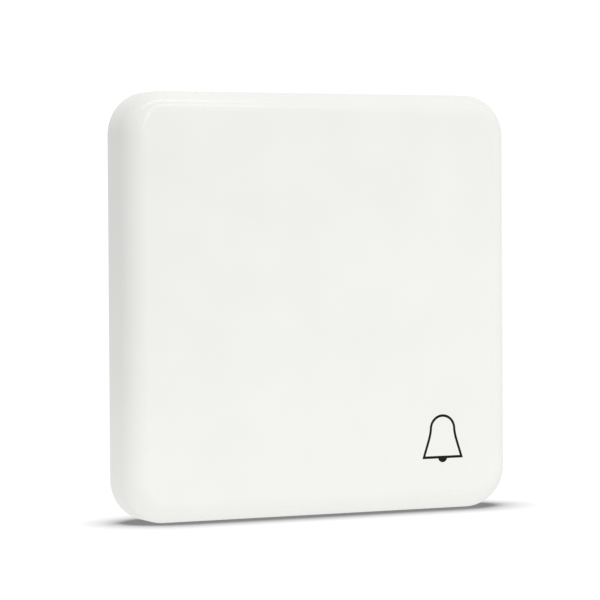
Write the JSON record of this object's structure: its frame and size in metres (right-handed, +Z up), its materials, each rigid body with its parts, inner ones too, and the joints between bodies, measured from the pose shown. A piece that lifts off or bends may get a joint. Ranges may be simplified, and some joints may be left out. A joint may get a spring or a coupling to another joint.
{
  "type": "wireless doorbell push",
  "caption": "Square white surface-mounted wireless doorbell push: a hinged plate with a thin-lined bell symbol over a battery radio transmitter on a wall bracket.",
  "frame": {"origin": "middle of the wall bracket's rear face, where it lies against the wall", "axes": "+Z up the wall, +Y into the wall, so the push plate faces -Y; +X to the right seen from the front"},
  "size_m": [0.08, 0.014, 0.08],
  "materials": {
    "bracket_white": "moulded ABS, fine matt",
    "foam_tape": "acrylic foam with a release liner",
    "housing_white": "moulded ABS, fine matt",
    "plate_white": "moulded ASA, smooth satin",
    "symbol_ink": "satin black inlay",
    "bumper_rubber": "silicone, matt",
    "spring_steel": "drawn spring wire",
    "board_green": "solder mask over glass laminate",
    "screw_zinc": "zinc plated",
    "switch_black": "moulded nylon",
    "switch_cover_steel": "tin plated",
    "dome_steel": "pressed spring steel",
    "stem_grey": "moulded acetal",
    "stem_red": "moulded acetal",
    "tin_plate": "tin plated",
    "holder_black": "moulded nylon",
    "cell_steel": "nickel plated can",
    "contact_gold": "gold flashed phosphor bronze",
    "chip_black": "moulded epoxy",
    "crystal_can": "nickel plated can",
    "aerial_copper": "enamelled copper wire",
    "led_white": "clear over white",
    "tantalum_yellow": "moulded epoxy",
    "capacitor_tan": "fired ceramic with tinned ends",
    "resistor_black": "glazed film with tinned ends"
  },
  "bodies": {
    "housing": {"wall_bracket": "bracket_white", "adhesive_pads": "foam_tape", "housing": "housing_white", "return_springs": "spring_steel", "circuit_board": "board_green", "board_screws": "screw_zinc", "bell_switch_base": "switch_black", "bell_switch_cover": "switch_cover_steel", "bell_switch_dome": "dome_steel", "pairing_switch_base": "switch_black", "pairing_switch_cover": "switch_cover_steel", "switch_terminals": "tin_plate", "cell_holder": "holder_black", "coin_cell": "cell_steel", "cell_contact_minus": "contact_gold", "cell_contact_plus": "contact_gold", "controller_chip": "chip_black", "radio_chip": "chip_black", "chip_leads": "tin_plate", "crystal": "crystal_can", "antenna_coil": "aerial_copper", "status_led": "led_white", "reservoir_capacitor": "tantalum_yellow", "chip_capacitors": "capacitor_tan", "chip_resistors": "resistor_black"},
    "push_plate": {"push_plate": "plate_white", "bell_symbol": "symbol_ink", "stop_bumpers": "bumper_rubber"},
    "bell_stem": {"bell_switch_stem": "stem_grey"},
    "pairing_stem": {"pairing_switch_stem": "stem_red"}
  },
  "joints": [
    {"name": "plate_press", "type": "hinge", "parent": "housing", "child": "push_plate", "pos_m": [0, -0.008, 0.03], "axis": [1, 0, 0], "range_deg": [0, 0.95], "stiffness_Nm_per_rad": 6, "springref_deg": -0.46, "deforming": ["return_springs"]},
    {"name": "bell_switch_press", "type": "slide", "parent": "housing", "child": "bell_stem", "axis": [0, 1, 0], "range_m": [0, 0.0008], "stiffness_N_per_m": 5, "deforming": ["bell_switch_dome"]},
    {"name": "pairing_press", "type": "slide", "parent": "housing", "child": "pairing_stem", "axis": [0, 1, 0], "range_m": [0, 0.00025], "stiffness_N_per_m": 2000, "springref_m": -0.0003}
  ],
  "couplings": [
    {"joint": "bell_switch_press", "follows": "plate_press", "m_per_rad": 0.048}
  ]
}
